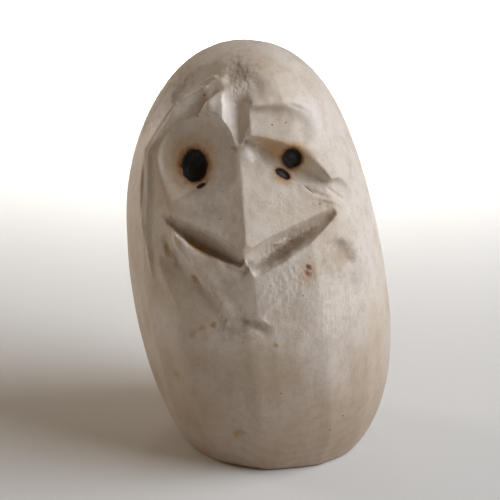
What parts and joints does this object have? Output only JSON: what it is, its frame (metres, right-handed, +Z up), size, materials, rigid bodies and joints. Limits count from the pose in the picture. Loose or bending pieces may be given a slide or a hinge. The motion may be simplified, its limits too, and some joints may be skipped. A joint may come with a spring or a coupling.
{
  "type": "carved wooden chick",
  "caption": "Egg-shaped chick whittled from one block of pale wood, with knife-cut brows, a roof-shaped beak, uneven eye hollows with burned spots, and a flat foot.",
  "frame": {"origin": "bottom centre of the chick's bounding box, on the surface it stands on", "axes": "+Z up through the crown, -Y the way the face looks, +X to the viewer's right when facing it"},
  "size_m": [0.051, 0.0456, 0.08],
  "materials": {
    "pale_wood": "bare, knife-cut, slightly polished by handling, burned black in the eye spots"
  },
  "bodies": {
    "root": {"carved_chick": "pale_wood"}
  },
  "joints": []
}
